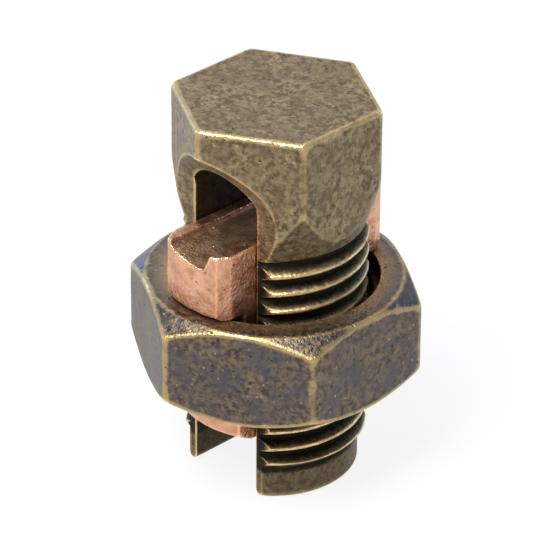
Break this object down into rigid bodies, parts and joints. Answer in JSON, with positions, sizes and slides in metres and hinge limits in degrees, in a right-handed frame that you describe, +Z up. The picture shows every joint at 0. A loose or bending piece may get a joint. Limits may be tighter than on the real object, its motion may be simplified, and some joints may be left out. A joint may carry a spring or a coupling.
{
  "type": "split bolt connector",
  "caption": "Split bolt wire connector: a hex-headed bronze bolt slotted into threaded legs, a hex nut and a copper pressure bar that the nut drives up the slot onto the conductors.",
  "frame": {"origin": "centre of the bolt at the level of the leg ends, which it stands on", "axes": "+Z up along the bolt's axis to the head's top, Y along the slot and the conductors, X across the legs"},
  "size_m": [0.0224, 0.0256, 0.0349],
  "materials": {
    "bolt_bronze": "tumbled silicon bronze with a dull olive-brown patina, worn bright on its edges",
    "nut_bronze": "tumbled silicon bronze with a darker purple-brown patina, worn bright on its edges",
    "copper": "bare copper, bright on the ends and rims, tarnished brown in the groove"
  },
  "bodies": {
    "bolt": {"bolt": "bolt_bronze"},
    "bar": {"pressure_bar": "copper"},
    "nut": {"nut": "nut_bronze"}
  },
  "joints": [
    {"name": "bar_slide", "type": "slide", "parent": "bolt", "child": "bar", "axis": [0, 0, 1], "range_m": [-0.0055, 0.0035]},
    {"name": "nut_turn", "type": "hinge", "parent": "bar", "child": "nut", "pos_m": [0, 0, 0.0138], "axis": [0, 0, 1], "range_deg": [-1183, 753]}
  ],
  "couplings": [
    {"joint": "nut_turn", "follows": "bar_slide", "rad_per_m": 3751.2}
  ]
}
